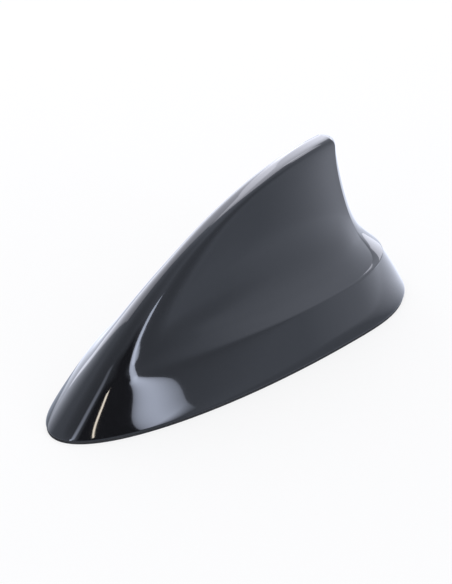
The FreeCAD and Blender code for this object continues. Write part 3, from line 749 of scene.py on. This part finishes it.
softbox_across = add_lamp("side_softbox", place(8.2, 0, distance=0.82), place(-12.1, 46.35, distance=2.37),
                          width=0.24, tones=(4.4, 7.0), side_share=0.36, colour=COOL,
                          foot_fade=(0.02, 0.08), head_fade=(0.78, 1.0))
add_lamp("upper_softbox", place(-10.4, 43, NEAR_LAMP), place(-9.6, 57, NEAR_LAMP),
         width=0.105, tones=(6.0, 4.8), side_share=0.7, colour=COOL, foot_fade=(0.0, 0.25))
add_lamp("tail_softbox", place(127, 10), place(124, 70),
         width=0.62, tones=(2.0, 2.0), side_share=0.8, colour=LILAC)
add_lamp("crown_softbox", place(80, 50.3), place(112, 50.3),
         width=0.25, tones=(2.5, 1.9), side_share=0.6, colour=LILAC)
add_lamp("deck_softbox", place(105, 3), place(105, 33),
         width=0.4, tones=(1.25, 2.0), side_share=0.9, colour=LILAC)
add_lamp("back_softbox", place(153, 3), place(173, 60),
         width=1.0, tones=(1.7, 1.1), side_share=0.9, colour=LILAC)
add_lamp("front_tube", place(-35, 29, NEAR_LAMP), place(-43.5, 52, NEAR_LAMP),
         width=0.045, tones=(10.0, 10.0), side_share=0.5, colour=WARM)
add_lamp("front_slot", place(-74, 0, NEAR_LAMP), place(-71, 62, NEAR_LAMP),
         width=0.16, tones=(6.0, 0.8), side_share=0.15, colour=COOL)


# World: white to the camera, the room with its dark corner to reflections, and an even fill

FILL_COLOUR = (0.5, 0.5, 0.5)
CORNER_COLOUR = (0.03, 0.03, 0.04)
CORNER_AZIMUTH = -61
CORNER_TOP = 60
CORNER_TOP_BLUR = 4
SLOT_BLUR = (-0.04, 0.06)
SOFTBOX_BLUR = (-0.03, 0.03)
CEILING_LIFT = 0.35
CEILING_CORE = 10
CEILING_EDGE = 32
DIM_SPOTS = (((8, 32), 0.65), ((-82, 66), 0.5))
DIM_CORE = 5
DIM_EDGE = 32


def background(tree, colour=(1, 1, 1)):
    """Background node of one colour."""
    node = tree.nodes.new("ShaderNodeBackground")
    node.inputs["Color"].default_value = (*colour, 1)
    return node


def corner_share(tree, towards, upwards):
    """Share of the room's dark corner, between the front slot and the side softbox, in a direction."""
    from_slot = vector_node(tree, "DOT_PRODUCT", towards, direction(CORNER_AZIMUTH + 90, 0))
    past_slot = ramp(tree, from_slot, 0.0, 1.0, *SLOT_BLUR)
    from_softbox = vector_node(tree, "DOT_PRODUCT", towards, softbox_across)
    before_softbox = ramp(tree, from_softbox, 1.0, 0.0, *SOFTBOX_BLUR)
    zenith_angle = 90 - CORNER_TOP
    below_top = angle_ramp(tree, upwards, zenith_angle - CORNER_TOP_BLUR, zenith_angle + CORNER_TOP_BLUR,
                           inside=0.0, outside=1.0)
    return product(tree, product(tree, past_slot, before_softbox), below_top)


def make_world():
    """World with one background for the camera, one for reflections and one for all other light."""
    world = bpy.data.worlds.new("studio")
    bpy.context.scene.world = world
    world.use_nodes = True
    tree = world.node_tree
    tree.nodes.clear()
    rays = tree.nodes.new("ShaderNodeLightPath")
    backdrop = background(tree)
    fill = background(tree, FILL_COLOUR)
    room = background(tree)
    towards = tree.nodes.new("ShaderNodeTexCoord").outputs["Generated"]
    upwards = vector_node(tree, "DOT_PRODUCT", towards, (0, 0, 1))
    tone = angle_ramp(tree, upwards, CEILING_CORE, CEILING_EDGE, inside=1.0 + CEILING_LIFT, outside=1.0)
    for spot, dimmed in DIM_SPOTS:
        facing = vector_node(tree, "DOT_PRODUCT", towards, direction(*spot))
        dim = angle_ramp(tree, facing, DIM_CORE, DIM_EDGE, inside=dimmed, outside=1.0)
        tone = product(tree, tone, dim)
    shade = tree.nodes.new("ShaderNodeMix")
    shade.data_type = "RGBA"
    tree.links.new(corner_share(tree, towards, upwards), shade.inputs["Factor"])
    tree.links.new(room_tone(tree, towards, BRIGHT_EDGE), shade.inputs["A"])
    shade.inputs["B"].default_value = (*CORNER_COLOUR, 1)
    tree.links.new(shade.outputs["Result"], room.inputs["Color"])
    tree.links.new(tone, room.inputs["Strength"])
    around = mix_shaders(tree, rays.outputs["Is Glossy Ray"],
                         fill.outputs["Background"], room.outputs["Background"])
    around = mix_shaders(tree, rays.outputs["Is Camera Ray"], around, backdrop.outputs["Background"])
    output = tree.nodes.new("ShaderNodeOutputWorld")
    tree.links.new(around, output.inputs["Surface"])


make_world()


# Camera at the photograph's angle, in degrees, metres and millimetres of lens

CAMERA_AZIMUTH = -48.68
CAMERA_ELEVATION = 29.14
CAMERA_TARGET = Vector((0.00419, 0.0, 0.02012))
CAMERA_DISTANCE = 0.8
CAMERA_LENS = 143.0
CAMERA_SENSOR = 36
CAMERA_CLIP = 0.05


def make_camera():
    """Camera that looks at the object from its front left and from above."""
    camera = bpy.data.cameras.new("camera")
    camera.lens = CAMERA_LENS
    camera.sensor_width = CAMERA_SENSOR
    camera.clip_start = CAMERA_CLIP
    item = bpy.data.objects.new("camera", camera)
    towards = direction(CAMERA_AZIMUTH, CAMERA_ELEVATION)
    item.location = CAMERA_TARGET + towards * CAMERA_DISTANCE
    item.rotation_euler = towards.to_track_quat("Z", "Y").to_euler()
    bpy.context.scene.collection.objects.link(item)
    bpy.context.scene.camera = item


make_camera()
bpy.context.scene.view_settings.view_transform = "Standard"
